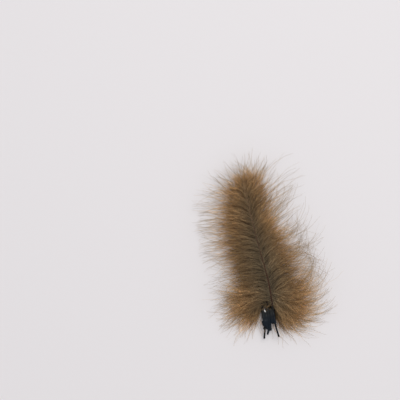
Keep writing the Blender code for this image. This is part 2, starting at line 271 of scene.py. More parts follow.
def placed(points):
    """Points of the layout in mm, as points of the frame in metres."""
    return points * MM + SHIFT


def new_object(name, data):
    obj = bpy.data.objects.new(name, data)
    bpy.context.scene.collection.objects.link(obj)
    return obj


def smooth(knots, y):
    """The values at y of a smooth line through knots, which are (value, y) pairs with y rising."""
    values, places = (np.array(column, float) for column in zip(*knots))
    secants = np.diff(values) / np.diff(places)
    slopes = np.empty(len(values))
    slopes[0], slopes[-1] = secants[0], secants[-1]
    below, above = secants[:-1], secants[1:]
    same_way = below * above > 0
    both = np.where(same_way, below + above, 1.0)
    slopes[1:-1] = np.where(same_way, 2 * below * above / both, 0.0)
    y = np.asarray(y, float)
    i = np.clip(np.searchsorted(places, y, side="right") - 1, 0, len(places) - 2)
    step = places[i + 1] - places[i]
    u = (y - places[i]) / step
    return (
        values[i] * (2 * u ** 3 - 3 * u ** 2 + 1)
        + values[i + 1] * (3 * u ** 2 - 2 * u ** 3)
        + step * slopes[i] * (u ** 3 - 2 * u ** 2 + u)
        + step * slopes[i + 1] * (u ** 3 - u ** 2)
    )


def by_side(side, left, right, t):
    return np.where(side < 0, smooth(left, t), smooth(right, t))


def smoothstep(x):
    x = np.clip(x, 0.0, 1.0)
    return x * x * (3 - 2 * x)


def unit(v):
    return v / np.maximum(np.linalg.norm(v, axis=-1, keepdims=True), 1e-9)


def crossways(way):
    """The level direction across a way, and the upright one across both."""
    level = unit(np.cross(way, UP))
    return level, np.cross(level, way)


def pitch_at(x, y):
    """The height of one layer of the pile, which is a low mound."""
    reach = np.where(y < MOUND["y"], MOUND["lower"], MOUND["upper"])
    across = (x - MOUND["x"] - MOUND["lean"] * y) / MOUND["half_width"]
    along = (y - MOUND["y"]) / reach
    return PITCH_EDGE + PITCH_RISE * np.exp(-MOUND_FALL * (across ** 2 + along ** 2))


def shaft_knots(feather):
    neck_x = NECK[0] + COLUMN_PITCH * feather["place"][0]
    neck = [(neck_x, NECK_LOW), (neck_x, NECK_HIGH)]
    return [feather["end"], *neck, feather["start"], feather["middle"], feather["tip"]]


def shaft_radius(y, end_y, tip_y):
    bare = (y - end_y) / (DOWN_START - end_y)
    inside = (y - DOWN_START) / (tip_y - DOWN_START)
    return np.where(
        y < DOWN_START,
        QUILL_RADIUS + (RACHIS_START_RADIUS - QUILL_RADIUS) * bare,
        RACHIS_START_RADIUS + (RACHIS_TIP_RADIUS - RACHIS_START_RADIUS) * inside,
    )


def shaft_centre(feather, layer, y):
    """The shaft's centre line: level in the neck, and just proud of its layer in the down."""
    knots = shaft_knots(feather)
    x = smooth(knots, y)
    down_y = np.maximum(y, DOWN_START)
    pitch = pitch_at(x, down_y)
    radius = shaft_radius(down_y, knots[0][1], knots[-1][1])
    in_down = layer * pitch + pitch - LAYER_GAP + RIDGE - radius
    rise = smoothstep((y - NECK_HIGH) / (DOWN_START - NECK_HIGH))
    in_neck = NECK[2] + ROW_PITCH * (feather["place"][1] - 0.5)
    return np.stack((x, y, in_neck * (1 - rise) + in_down * rise), -1)


def headings(feather, y):
    """The way that the rachis runs at y, seen from above."""
    knots = shaft_knots(feather)
    near = 0.1
    slope = (smooth(knots, y + near) - smooth(knots, y - near)) / (2 * near)
    way = np.stack((slope, np.ones_like(slope)), -1)
    return way / np.linalg.norm(way, axis=-1, keepdims=True)


class Barbs:
    """Barbs of one feather as arrays with a row for each barb.

    t is the place on the rachis and side is -1 or 1. leaving, turn and end_turn are in degrees, and
    end_from is the share of the usual length where the end's turn starts. usual and length are in
    mm. fluff is how far the end stands off its layer in mm, fringe scales the barbules, dark is the
    power of the colour's way out, and tone is how light the barb is, with 0 in the middle.
    """

    def __init__(self, **columns):
        vars(self).update(columns)

    def picked(self, chosen):
        return Barbs(**{name: values[chosen] for name, values in vars(self).items()})


def joined(groups):
    names = vars(groups[0])
    return Barbs(**{name: np.concatenate([getattr(group, name) for group in groups]) for name in names})


def shares(count, rng, shortest=SHORTEST, longest=LONGEST):
    """Lengths against the usual one: most barbs are short, and fewer and fewer run on."""
    share = shortest + THINNING * rng.exponential(1.0, count)
    return np.where(share < longest, share, rng.uniform(shortest, longest, count))


def side_barbs(feather, layer, side, rng):
    """The barbs of one side, from the quill to the tip. They leave the rachis a few together."""
    count = BARBS_A_SIDE[layer]
    right = side > 0
    tufts = count // BARBS_A_TUFT
    tuft = np.arange(count) * tufts // count
    inside = (np.arange(count) + 0.5) * tufts / count - tuft
    place = tuft + inside + rng.uniform(-TUFT_JITTER, TUFT_JITTER, tufts)[tuft]
    t = ((place + rng.normal(0, BARB_JITTER, count)) / tufts).clip(0, 1)
    usual = by_side(side, LENGTH_LEFT, LENGTH_RIGHT, t) * feather["reach"][right]
    share = shares(count, rng)
    wild = (rng.random(count) < WILD_SHARE) & (share < WILD_LONGEST)
    loose = np.interp(share, *LOOSENESS)
    under_another = layer < len(FEATHERS) - 1
    hang = max(feather["droop"][right] - HANGING_FROM, 0) if under_another else 0
    hang = hang * (1 - t / DROOP_REACH).clip(0)
    leaving = by_side(side, LEAVING_LEFT, LEAVING_RIGHT, t) + hang
    leaving = leaving + rng.normal(0, TUFT_LEAVING_SPREAD, tufts)[tuft]
    own = rng.normal(0, 1, count) * np.where(wild, WILD_LEAVING_SPREAD, LEAVING_SPREAD)
    turn = by_side(side, TURN_LEFT, TURN_RIGHT, t)
    end_turn = by_side(side, END_TURN_LEFT, END_TURN_RIGHT, t)
    # Darker at the tuft's edges and lighter in its middle: painted shade in the gaps between tufts
    tone = -TUFT_GAP_SHADE * np.cos(2 * math.pi * inside)
    return Barbs(
        t=t,
        side=np.full(count, side),
        leaving=leaving + own,
        usual=usual,
        length=usual * share,
        turn=turn + rng.normal(0, TURN_SPREAD, count) * loose,
        end_turn=end_turn + rng.normal(0, END_TURN_SPREAD, count) * loose,
        end_from=np.full(count, 0.5),
        fluff=rng.normal(0, FLUFF_SPREAD, count),
        fringe=np.interp(share, *SIDE_FRINGE),
        dark=by_side(side, DARK_LEFT, DARK_RIGHT, t),
        tone=tone + rng.normal(0, BARB_TONE_SPREAD, count) + WILD_TONE * wild,
    )


def end_barbs(layer, rng):
    """The fan of barbs past the end of the rachis."""
    count = END_BARBS[layer]
    bare = rng.random(count) < END_BARE_SHARE
    long_ones = rng.uniform(*END_BARE_LENGTH, count)
    return Barbs(
        t=rng.uniform(0.93, 1.0, count),
        side=np.where(np.arange(count) % 2, 1, -1),
        leaving=rng.uniform(-4, 52, count),
        usual=np.full(count, END_LENGTH * END_USUAL),
        length=np.where(bare, long_ones, END_LENGTH * shares(count, rng, *END_SHARES)),
        turn=rng.normal(6, 5, count),
        end_turn=rng.normal(0, 12, count) * np.where(bare, 0.4, 1.0),
        end_from=np.full(count, 0.5),
        fluff=rng.normal(0, 0.4, count),
        fringe=np.where(bare, 0.2, 0.5),
        dark=np.full(count, 1.2),
        tone=rng.normal(0, 0.8, count),
    )


def base_barbs(feather, layer, rng):
    """The loose down at the foot of the rachis. On an outer side it hangs beside the quills."""
    count = BASE_BARBS[layer]
    left, right = feather["skirt"]
    to_right = rng.random(count) < (right - STRAIGHT_OUT) / (left + right - 2 * STRAIGHT_OUT)
    lowest = np.where(to_right, right, left)
    leaving = BASE_FROM + (lowest - BASE_FROM) * rng.uniform(0, 1, count) ** BASE_CROWDING
    scale = np.where(to_right, BASE_REACH[1], BASE_REACH[0])
    usual = smooth(BASE_LENGTH, leaving.clip(STRAIGHT_OUT)) * scale
    steep = smoothstep((leaving - STEEP_FROM) / STEEP_OVER) * to_right
    return Barbs(
        t=rng.uniform(0.0, 0.12, count),
        side=np.where(to_right, 1, -1),
        leaving=leaving,
        usual=usual,
        length=usual * shares(count, rng, *BASE_SHARES),
        turn=rng.normal(0, 12, count),
        end_turn=smooth(BASE_END_TURN, leaving) * to_right + rng.normal(0, 20, count),
        end_from=np.full(count, 0.5),
        fluff=rng.normal(0, 0.5, count),
        fringe=np.full(count, 0.9),
        dark=np.where(to_right, np.interp(leaving, *BASE_DARK_RIGHT), BASE_DARK_LEFT),
        tone=rng.normal(STEEP_TONE * steep, 1.1, count),
    )


def collar_barbs(layer, rng):
    """Short loose down over the top of the band."""
    count = COLLAR_BARBS[layer]
    return Barbs(
        t=rng.uniform(0.0, 0.012, count),
        side=rng.choice((-1, 1), count),
        leaving=rng.uniform(100, 185, count),
        usual=np.full(count, 3.0),
        length=rng.uniform(0.8, 2.2, count),
        turn=rng.normal(0, 15, count),
        end_turn=rng.normal(0, 40, count),
        end_from=np.full(count, 0.4),
        fluff=rng.uniform(0.2, 0.9, count),
        fringe=np.full(count, 0.6),
        dark=np.full(count, 1.5),
        tone=rng.normal(0, 0.8, count),
    )


def tangled_barbs(layer, rng):
    """Short barbs that lie this way and that, over the lower left side of the rachis."""
    count = TANGLED_BARBS[layer]
    return Barbs(
        t=rng.uniform(0.03, 0.52, count),
        side=np.full(count, -1),
        leaving=rng.normal(32, 30, count),
        usual=np.full(count, 9.0),
        length=rng.uniform(2.5, 4.5, count),
        turn=rng.normal(0, 40, count),
        end_turn=rng.normal(0, 100, count),
        end_from=np.full(count, 0.2),
        fluff=rng.uniform(0.1, 0.6, count),
        fringe=np.ones(count),
        dark=np.full(count, 2.2),
        tone=rng.normal(0.5, 0.9, count),
    )


def stray_barbs(feather, rng):
    """Long thinly fringed barbs that run past the edge of the down round the part's stray locks."""
    rows = []
    for stray in feather["strays"]:
        hairs = by_side(stray[0], STRAY_HAIRS_LEFT, STRAY_HAIRS_RIGHT, stray[1] / PART_LOCKS_A_SIDE)
        rows += [stray] * int(hairs)
    count = len(rows)
    side, number, added, bend = (np.array(column, float) for column in zip(*rows))
    near = number + 0.5 + rng.uniform(-STRAY_LOCKS, STRAY_LOCKS, count)
    t = (near / PART_LOCKS_A_SIDE).clip(STRAY_LOWEST, 1) ** PART_LOCK_CROWDING
    inner = by_side(side, LENGTH_LEFT, LENGTH_RIGHT, t)
    length = inner + added * rng.uniform(0.15, 1.05, count)
    leaving = by_side(side, LEAVING_LEFT, LEAVING_RIGHT, t) + rng.normal(0, 4, count)
    turn = by_side(side, TURN_LEFT, TURN_RIGHT, t) + rng.normal(0, 6, count)
    whole = bend * rng.uniform(0.5, 1.2, count)
    return Barbs(
        t=t,
        side=side,
        leaving=leaving,
        usual=inner,
        length=length,
        turn=turn,
        end_turn=whole / (length / inner - STRAY_END_FROM) * STRAY_END_REST,
        end_from=np.full(count, STRAY_END_FROM),
        fluff=rng.normal(0, 0.8, count),
        fringe=np.full(count, 0.4),
        dark=np.ones(count),
        tone=rng.normal(0.3, 0.8, count),
    )


def barb_paths(feather, layer, barbs, steps, rng):
    """Each barb's root, its centre line seen from above, in mm with a row for each barb, and the
    phase of its ripple up and down. The third rows of phase and waves are drawn but not used."""
    count = len(barbs.t)
    s = np.linspace(0, 1, steps)[None, :]
    far = s * (barbs.length / barbs.usual)[:, None]
    root_y = DOWN_START + (feather["tip"][1] - DOWN_START) * barbs.t
    root = shaft_centre(feather, layer, root_y)
    heading = headings(feather, root_y)
    outward = np.stack((heading[:, 1], -heading[:, 0]), -1) * barbs.side[:, None]
    turned = smoothstep(far / FULL_TURN_AT)
    late = ((far - barbs.end_from[:, None]) / (1 - barbs.end_from[:, None])).clip(0)
    phase = rng.uniform(0, 2 * math.pi, (3, count, 1))
    waves = rng.uniform(*WAVES_PER_MM, (3, count, 1)) * barbs.length[:, None]
    calmed = 1 - SWAY_CALMED * smoothstep((far - SWAY_FULL_AT) / SWAY_CALM_OVER)
    swing = SWAY * smoothstep(far / SWAY_FULL_AT) * calmed
    sway = swing * np.sin(2 * math.pi * waves[0] * s + phase[0])
    angle = np.radians(
        barbs.leaving[:, None] + barbs.turn[:, None] * turned + barbs.end_turn[:, None] * late + sway
    )
    way = heading[:, None] * np.cos(angle)[..., None] + outward[:, None] * np.sin(angle)[..., None]
    step = barbs.length[:, None, None] / (steps - 1)
    flat = root[:, None, :2] + np.cumsum(way * step, axis=1) - way[:, :1] * step
    return root, flat, 2 * math.pi * waves[1] * s + phase[1]


def gathered(flat, t, side, rng):
    """Draws neighbouring barbs together towards their ends, as down clings in small locks."""
    order = np.lexsort((t, side))
    drawn = flat.copy()
    i = 0
    share = np.linspace(0, 1, flat.shape[1])[:, None] ** CLING_POWER
    while i < len(order):
        size = int(rng.integers(*LOCK_SIZES))
        group = order[i:i + size]
        group = group[side[group] == side[group[0]]]
        leader = flat[group[len(group) // 2]]
        pull = rng.uniform(0.0, CLING) * share
        drawn[group] = flat[group] * (1 - pull) + leader * pull
        i += len(group)
    return drawn


def lifted(layer, barbs, root, flat, ripple, rng):
    """Gives the barbs their height: from the rachis into their layer, and fluffed at the ends."""
    pitch = pitch_at(flat[..., 0], flat[..., 1])
    s = np.linspace(0, 1, flat.shape[1])[None, :]
    random_lift = rng.uniform(-RANDOM_LIFT, RANDOM_LIFT, len(barbs.t))
    share = (0.5 + TONE_LIFT * barbs.tone + random_lift).clip(*LIFT_LIMITS)[:, None]
    inside = layer * pitch + (pitch - LAYER_GAP) * share
    settle = smoothstep(s / SETTLED_AT)
    loose = barbs.fluff[:, None] * s ** FLUFF_POWER
    z = root[:, None, 2] * (1 - settle) + inside * settle + loose + RIPPLE * s * np.sin(ripple)
    z = np.where(z < SOFT_FLOOR, SOFT_FLOOR * np.exp((z - SOFT_FLOOR) / SOFT_FLOOR), z)
    return np.concatenate((flat, np.maximum(z, FLOOR_CLEARANCE)[..., None]), -1)


def barb_vertices(points, barbs, rng):
    """Four vertices for each point of a barb: its ribbon's two sides and the tips of two barbules."""
    count, steps = points.shape[:2]
    s = np.linspace(0, 1, steps)[None, :]
    tangent = unit(np.gradient(points, axis=1))
    roll = rng.normal(0, RIBBON_ROLL_SPREAD, (count, 1, 1))
    level, upright = crossways(tangent)
    across = level * np.cos(roll) + upright * np.sin(roll)
    over = np.cross(across, tangent)
    width = (BARB_WIDTH[0] + (BARB_WIDTH[1] - BARB_WIDTH[0]) * s)[..., None]
    left, right = points - across * width / 2, points + across * width / 2

    away = s * barbs.length[:, None]
    grown = ROOT_FRINGE + (1 - ROOT_FRINGE) * smoothstep((away - GROWING_FROM) / GROWING_OVER)
    shortened = 1 - SHORTENED * smoothstep((s - SHORTENING_FROM) / SHORTENING_OVER)
    size = BARBULE_LENGTH * (grown * shortened) * barbs.fringe[:, None]
    tips = []
    for hand in (-1, 1):
        lean = np.radians(rng.normal(BARBULE_ANGLE, BARBULE_ANGLE_SPREAD, (count, steps, 1)))
        turn = rng.uniform(-BARBULE_TURN, BARBULE_TURN, (count, steps, 1))
        sideways = across * hand * np.cos(turn) + over * np.sin(turn)
        reach = (size * rng.uniform(*BARBULE_SHARES, (count, steps)))[..., None]
        tips.append(points + (tangent * np.cos(lean) + sideways * np.sin(lean)) * reach)
    vertices = np.stack((left, right, *tips), 2)
    vertices[..., 2] = np.maximum(vertices[..., 2], FLOOR_CLEARANCE)
    return vertices


def barb_triangles(count, steps):
    """Two triangles for each step of a ribbon, then one for each barbule on either side."""
    base = (np.arange(count)[:, None] * steps + np.arange(steps)[None, :]) * 4
    here, ahead = base[:, :-1], base[:, 1:]
    blocks = (
        np.stack((here, here + 1, ahead + 1), -1),
        np.stack((here, ahead + 1, ahead), -1),
        np.stack((base, base + 1, base + 2), -1),
        np.stack((base, base + 1, base + 3), -1),
    )
    return np.concatenate([block.reshape(-1, 3) for block in blocks])


def barb_uv(barbs, steps):
    """A UV for each corner of the triangles: how far out it is, and the barb's tone."""
    s = np.linspace(0, 1, steps)[None, :]
    row = (0.5 + TONE_V * barbs.tone[:, None]).clip(*TONE_LIMITS) * np.ones((1, steps))
    low, high = row - TONE_STRIP, row + TONE_STRIP
    start = TIP_LIGHTENING * barbs.t[:, None] ** TIP_LIGHTENING_POWER
    far = (s * (barbs.length / barbs.usual)[:, None]).clip(0, 1)
    u = BARB_UV * (start + (1 - start) * far ** barbs.dark[:, None])

    def edges(out):
        """The UVs so far out, on both edges of the barb's strip."""
        return np.stack((out, low), -1), np.stack((out, high), -1)

    left, right = edges(u)
    foot_left, foot_right = edges(BARBULE_UV + u)
    tip_left, tip_right = edges(BARBULE_UV + u + BARBULE_TIP_UV)
    blocks = (
        np.stack((left[:, :-1], right[:, :-1], right[:, 1:]), 2),
        np.stack((left[:, :-1], right[:, 1:], left[:, 1:]), 2),
        np.stack((foot_left, foot_right, tip_left), 2),
        np.stack((foot_left, foot_right, tip_right), 2),
    )
    return np.concatenate([block.reshape(-1, 2) for block in blocks])


def barb_surface(points, barbs, rng):
    """Ribbons with barbules as vertices, triangles and UVs. Each barbule is a thin triangle that
    stands on the ribbon's width, so every barb is one connected sheet."""
    count, steps = points.shape[:2]
    vertices = barb_vertices(points, barbs, rng)
    return vertices.reshape(-1, 3), barb_triangles(count, steps), barb_uv(barbs, steps)


def around(sides):
    """The angles of a ring's points, as a column."""
    return np.linspace(0, 2 * math.pi, sides, endpoint=False)[:, None]


def tube_points(centres, ways, radii, sides):
    """Rings of points round a line, with one ring for each of its points."""
    level, upright = crossways(ways)
    ring = level[:, None] * np.cos(around(sides)) + upright[:, None] * np.sin(around(sides))
    return centres[:, None] + ring * radii[:, None, None]


def tube_corners(rings, sides):
    """The four corners of each face between a tube's rings, as the numbers of its points."""
    k = np.arange(sides)
    base = np.arange(rings - 1)[:, None] * sides
    a, b = base + k, base + (k + 1) % sides
    return a, b, b + sides, a + sides


def shaft_surface(feather, layer):
    """The quill and rachis as one tube, with a slanting cut at the quill's end."""
    end_y, tip_y = feather["end"][1], feather["tip"][1]
    stations = (end_y, NECK_LOW, NECK_HIGH, DOWN_START)
    *lower, inside = SHAFT_RINGS
    stretches = zip(stations[:-1], stations[1:], lower)
    y = [np.linspace(first, last, rings)[:-1] for first, last, rings in stretches]
    y = np.concatenate((*y, np.linspace(DOWN_START, tip_y, inside)))
    centre = shaft_centre(feather, layer, y)
    radius = shaft_radius(y, end_y, tip_y)
    tangent = unit(np.gradient(centre, axis=0))
    vertices = tube_points(centre, tangent, radius, SHAFT_SIDES)
    vertices[0] += np.sin(around(SHAFT_SIDES)) * tangent[0] * radius[0] * SHAFT_SLANT
    vertices = np.concatenate((vertices.reshape(-1, 3), centre[:1], centre[-1:]))
    rings = len(y)
    a, b, c, d = tube_corners(rings, SHAFT_SIDES)
    k = np.arange(SHAFT_SIDES)
    turned = (k + 1) % SHAFT_SIDES
    last = (rings - 1) * SHAFT_SIDES
    triangles = np.concatenate((
        np.stack((a, b, c), -1).reshape(-1, 3),
        np.stack((a, c, d), -1).reshape(-1, 3),
        np.stack((np.full_like(k, len(vertices) - 2), turned, k), -1),
        np.stack((np.full_like(k, len(vertices) - 1), last + k, last + turned), -1),
    ))
    low, high = SHAFT_UV
    v = np.repeat((y - end_y) / (tip_y - end_y), SHAFT_SIDES)
    u = np.tile(low + (high - low) * np.abs(np.linspace(-1, 1, SHAFT_SIDES)), rings)
    uv = np.concatenate((np.stack((u, v), -1), [((low + high) / 2, 0.0), ((low + high) / 2, 1.0)]))
    return vertices, triangles, uv[triangles.ravel()]


def mesh_object(name, vertices, triangles, uv, slots, materials):
    """A mesh object from arrays: vertices in mm of the layout, a UV for each triangle corner and a
    material slot for each triangle."""
    mesh = bpy.data.meshes.new(name)
    mesh.vertices.add(len(vertices))
    mesh.vertices.foreach_set("co", placed(vertices).astype(np.float32).ravel())
    mesh.loops.add(triangles.size)
    mesh.loops.foreach_set("vertex_index", triangles.astype(np.int32).ravel())
    mesh.polygons.add(len(triangles))
    mesh.polygons.foreach_set("loop_start", np.arange(0, triangles.size, 3, dtype=np.int32))
    mesh.polygons.foreach_set("material_index", slots.astype(np.int32))
    mesh.polygons.foreach_set("use_smooth", slots == SHAFT_SLOT)
    layer = mesh.uv_layers.new(name="OFBake")
    layer.data.foreach_set("uv", uv.astype(np.float32).ravel())
    mesh.update(calc_edges=True)
    mesh.validate()
    for made in materials:
        mesh.materials.append(made)
    return new_object(name, mesh)


def make_feather(feather, layer, down, shaft):
    """One feather as one mesh: its barbs, made together where their lengths are alike, and its shaft."""
    rng = np.random.default_rng(SEED + layer)
    groups = [
        side_barbs(feather, layer, -1, rng),
        side_barbs(feather, layer, 1, rng),
        end_barbs(layer, rng),
        base_barbs(feather, layer, rng),
        collar_barbs(layer, rng),
        tangled_barbs(layer, rng),
    ]
    if feather["strays"]:
        groups.append(stray_barbs(feather, rng))
    barbs = joined(groups)
    pieces = []
    shorter = 0.0
    for longest, steps in BARB_POINTS:
        some = barbs.picked((barbs.length > shorter) & (barbs.length <= longest))
        shorter = longest
        root, flat, ripple = barb_paths(feather, layer, some, steps, rng)
        flat = gathered(flat, some.t, some.side, rng)
        points = lifted(layer, some, root, flat, ripple, rng)
        pieces.append(barb_surface(points, some, rng))
    pieces.append(shaft_surface(feather, layer))
    vertices, triangles, uv = zip(*pieces)
    firsts = np.cumsum([0] + [len(points) for points in vertices])
    slots = np.repeat([0] * len(BARB_POINTS) + [SHAFT_SLOT], [len(rows) for rows in triangles])
    obj = mesh_object(
        feather["name"] + "_down",
        np.concatenate(vertices),
        np.concatenate([rows + first for rows, first in zip(triangles, firsts)]),
        np.concatenate(uv),
        slots,
        (down, shaft),
    )
    print(obj.name, len(barbs.t), "barbs", len(slots), "triangles")
    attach(obj, "root")
    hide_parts(feather["name"])


class Nodes:
    """A short way to write a material's node tree."""

    def __init__(self, name):
        self.material = bpy.data.materials.new(name)
        self.material.use_nodes = True
        self.tree = self.material.node_tree
        self.tree.nodes.clear()

    def put(self, node, key, value):
        """Links a socket to a node's input, or sets the input to a value."""
        if isinstance(value, bpy.types.NodeSocket):
            self.tree.links.new(value, node.inputs[key])
        else:
            node.inputs[key].default_value = value

    def add(self, kind, inputs, **settings):
        node = self.tree.nodes.new(kind)
        for key, value in settings.items():
            setattr(node, key, value)
        for key, value in inputs.items():
            self.put(node, key, value)
        return node

    def uv(self):
        """The UV map's vector, and its two parts."""
        place = self.add("ShaderNodeUVMap", {}, uv_map="OFBake").outputs["UV"]
        parts = self.add("ShaderNodeSeparateXYZ", {"Vector": place}).outputs
        return place, parts["X"], parts["Y"]

    def maths(self, operation, a, b, **settings):
        node = self.add("ShaderNodeMath", {0: a, 1: b}, operation=operation, **settings)
        return node.outputs["Value"]

    def ranged(self, inputs):
        return self.add("ShaderNodeMapRange", inputs).outputs["Result"]

    def grain(self, place, stretch, scale, detail):
        """Noise over a place that is stretched first."""
        stretched = self.add("ShaderNodeMapping", {"Vector": place, "Scale": stretch}).outputs["Vector"]
        noise = self.add("ShaderNodeTexNoise", {"Vector": stretched, "Scale": scale, "Detail": detail})
        return noise.outputs["Fac"]

    def ramp(self, factor, stops):
        node = self.add("ShaderNodeValToRGB", {"Fac": factor})
        elements = node.color_ramp.elements
        for _ in range(len(stops) - 2):
            elements.new(0.5)
        for element, (place, colour) in zip(elements, stops):
            element.position = place
            element.color = (*colour, 1.0)
        return node.outputs["Color"]

    def mixed(self, factor, a, b, blend="MIX"):
        """The mix node's colour sockets have the numbers 6 and 7 in and 2 out."""
        node = self.add("ShaderNodeMix", {}, data_type="RGBA", blend_type=blend)
        for key, value in ((0, factor), (6, a), (7, b)):
            self.put(node, key, value)
        return node.outputs[2]

    def multiplied(self, a, b):
        return self.mixed(1.0, a, b, "MULTIPLY")

    def principled(self, inputs):
        return self.add("ShaderNodeBsdfPrincipled", inputs).outputs[0]

    def finish(self, shader):
        self.add("ShaderNodeOutputMaterial", {"Surface": shader})
        return self.material


# What the down's colour is multiplied by on ribbons and on barbules, how far a barb's tone evens
# out towards its end, and the share of light that passes through
WHITE = (1.0, 1.0, 1.0, 1.0)
RIBBON_SHADE = (0.58, 0.56, 0.54, 1.0)
BARBULE_SHADE = (1.15, 1.14, 1.12, 1.0)
END_EVENNESS = 0.55
LIGHT_THROUGH = 0.45


def down_material():
    """Brown down: dark olive at the rachis, warm in the middle of a barb and pale at its end."""
    nodes = Nodes("down")
    place, out, tone_place = nodes.uv()
    is_barbule = nodes.maths("GREATER_THAN", out, (BARB_UV + BARBULE_UV) / 2)
    start = nodes.maths("MULTIPLY", is_barbule, BARBULE_UV)
    inner = nodes.maths("SUBTRACT", out, start)
    along = nodes.ranged({"Value": inner, "From Max": BARB_UV})
    colour = nodes.ramp(along, [
        (0.0, (0.245, 0.190, 0.112)),
        (0.34, (0.380, 0.250, 0.125)),
        (0.58, (0.605, 0.382, 0.180)),
        (0.76, (0.790, 0.555, 0.300)),
        (0.90, (0.770, 0.560, 0.320)),
        (1.00, (0.605, 0.460, 0.290)),
    ])
    ribbon = nodes.multiplied(colour, RIBBON_SHADE)
    barbule = nodes.multiplied(colour, BARBULE_SHADE)
    colour = nodes.mixed(is_barbule, ribbon, barbule)
    # Random mottling that also paints small glints and dark gaps between the barbs
    mottling = nodes.grain(place, stretch=(30.0, 600.0, 1.0), scale=1.0, detail=2.0)
    light = nodes.ramp(mottling, [(0.36, (0.50, 0.51, 0.55)), (0.64, (1.46, 1.45, 1.42))])
    colour = nodes.multiplied(colour, light)
    # The tone's dark end is partly random and partly painted shade in the gaps between tufts
    tone = nodes.ramp(tone_place, [
        (0.10, (0.26, 0.25, 0.24)),
        (0.50, (0.92, 0.92, 0.92)),
        (0.90, (1.80, 1.84, 1.90)),
    ])
    fading = nodes.maths("MULTIPLY", along, END_EVENNESS, use_clamp=True)
    colour = nodes.multiplied(colour, nodes.mixed(fading, tone, WHITE))
    surface = nodes.principled({"Base Color": colour, "Roughness": 0.7, "Specular IOR Level": 0.3})
    through = nodes.add("ShaderNodeBsdfTranslucent", {"Color": colour}).outputs[0]
    both = nodes.add("ShaderNodeMixShader", {"Fac": LIGHT_THROUGH, 1: surface, 2: through})
    return nodes.finish(both.outputs[0])


def shaft_material():
    """A near black glossy quill that turns into a dark reddish brown rachis."""
    nodes = Nodes("shaft")
    place, _, up = nodes.uv()
    colour = nodes.ramp(up, [
        (0.0, (0.004, 0.005, 0.007)),
        (0.18, (0.006, 0.007, 0.010)),
        (0.24, (0.045, 0.018, 0.012)),
        (0.6, (0.070, 0.034, 0.022)),
        (1.0, (0.180, 0.110, 0.060)),
    ])
    streaks = nodes.grain(place, stretch=(60.0, 8.0, 1.0), scale=2.0, detail=3.0)
    tone = nodes.ramp(streaks, [(0.3, (0.75, 0.75, 0.75)), (0.7, (1.25, 1.25, 1.25))])
    colour = nodes.multiplied(colour, tone)
    quill_end = {"Value": up, "From Min": 0.17, "From Max": 0.24}
    rough = nodes.ranged({**quill_end, "To Min": 0.35, "To Max": 0.6})
    shine = nodes.ranged({**quill_end, "To Min": 0.12, "To Max": 0.06})
    return nodes.finish(nodes.principled(
        {"Base Color": colour, "Roughness": rough, "Specular IOR Level": shine}
    ))


def floor_material():
    nodes = Nodes("pale_floor")
    return nodes.finish(nodes.principled({"Base Color": (0.755, 0.721, 0.715, 1.0), "Roughness": 0.6}))


def lacquer_material():
    """Set lacquer: blue black where it is thick, and greyer towards the down."""
    nodes = Nodes("lacquer")
    place = nodes.add("ShaderNodeTexCoord", {}).outputs["Object"]
    streaks = nodes.grain(place, stretch=(2600.0, 500.0, 2600.0), scale=1.0, detail=3.0)
    along = nodes.add("ShaderNodeSeparateXYZ", {"Vector": place}).outputs["Y"]
    bottom, top = (SHIFT[1] + y * MM for y in LACQUER_FADE)
    height = nodes.ranged({"Value": along, "From Min": bottom, "From Max": top})
    deep = nodes.ramp(streaks, [(0.3, (0.0010, 0.0035, 0.0080)), (0.75, (0.0045, 0.0100, 0.0170))])
    grey = nodes.ramp(streaks, [(0.3, (0.0070, 0.0065, 0.0045)), (0.75, (0.0300, 0.0290, 0.0240))])
    colour = nodes.mixed(height, deep, grey)
    return nodes.finish(nodes.principled(
        {"Base Color": colour, "Roughness": 0.32, "Specular IOR Level": 0.16}
    ))


def painted_glint_material():
    """A pale bead on the lacquer whose colour is a painted highlight."""
    nodes = Nodes("lacquer_bead")
    return nodes.finish(nodes.principled(
        {"Base Color": (0.60, 0.57, 0.53, 1.0), "Roughness": 0.2, "Coat Weight": 1.0}
    ))


# The lacquer round the quills in mm: each feather's sleeve runs between two heights with a radius
# at its lower and its upper end, and the fillings between the sleeves are x, z, the same heights
# and the same radii. It turns from blue black to grey between the heights of LACQUER_FADE.
SLEEVES = [(-3.5, 0.7, 0.40, 0.42), (-4.65, 0.9, 0.30, 0.46), (-3.1, 1.1, 0.38, 0.42),
           (-3.3, 0.9, 0.36, 0.42), (-5.6, 1.1, 0.30, 0.50), (-3.0, 1.5, 0.36, 0.44)]
FILLINGS = [(-1.25, 2.05, -2.9, 0.5, 0.58, 0.60), (0.2, 2.05, -2.75, 0.7, 0.50, 0.58),
            (-1.45, 2.05, -4.2, -2.0, 0.40, 0.60), (-0.85, 2.0, -4.1, -2.0, 0.42, 0.60),
            (-2.38, 2.2, -3.2, -2.2, 0.30, 0.26)]
SLEEVE_RINGS = 24
FILLING_RINGS = 16
TUBE_SIDES = 16
CAP_ANGLES = (0, 15, 35, 55, 75)
LEAST_RADIUS = 0.002
LACQUER_FADE = (-2.2, 1.4)
LACQUER_VOXEL = 0.10
LACQUER_RIDGES = 0.030
RIDGE_SPACING = (0.52, 0.31)
# A small pale bead on the band: its pale colour is a painted highlight on the lacquer
BEAD = {"centre": (-1.42, 0.66, 2.62), "half_size": (0.20, 0.44, 0.18), "turn": 22}


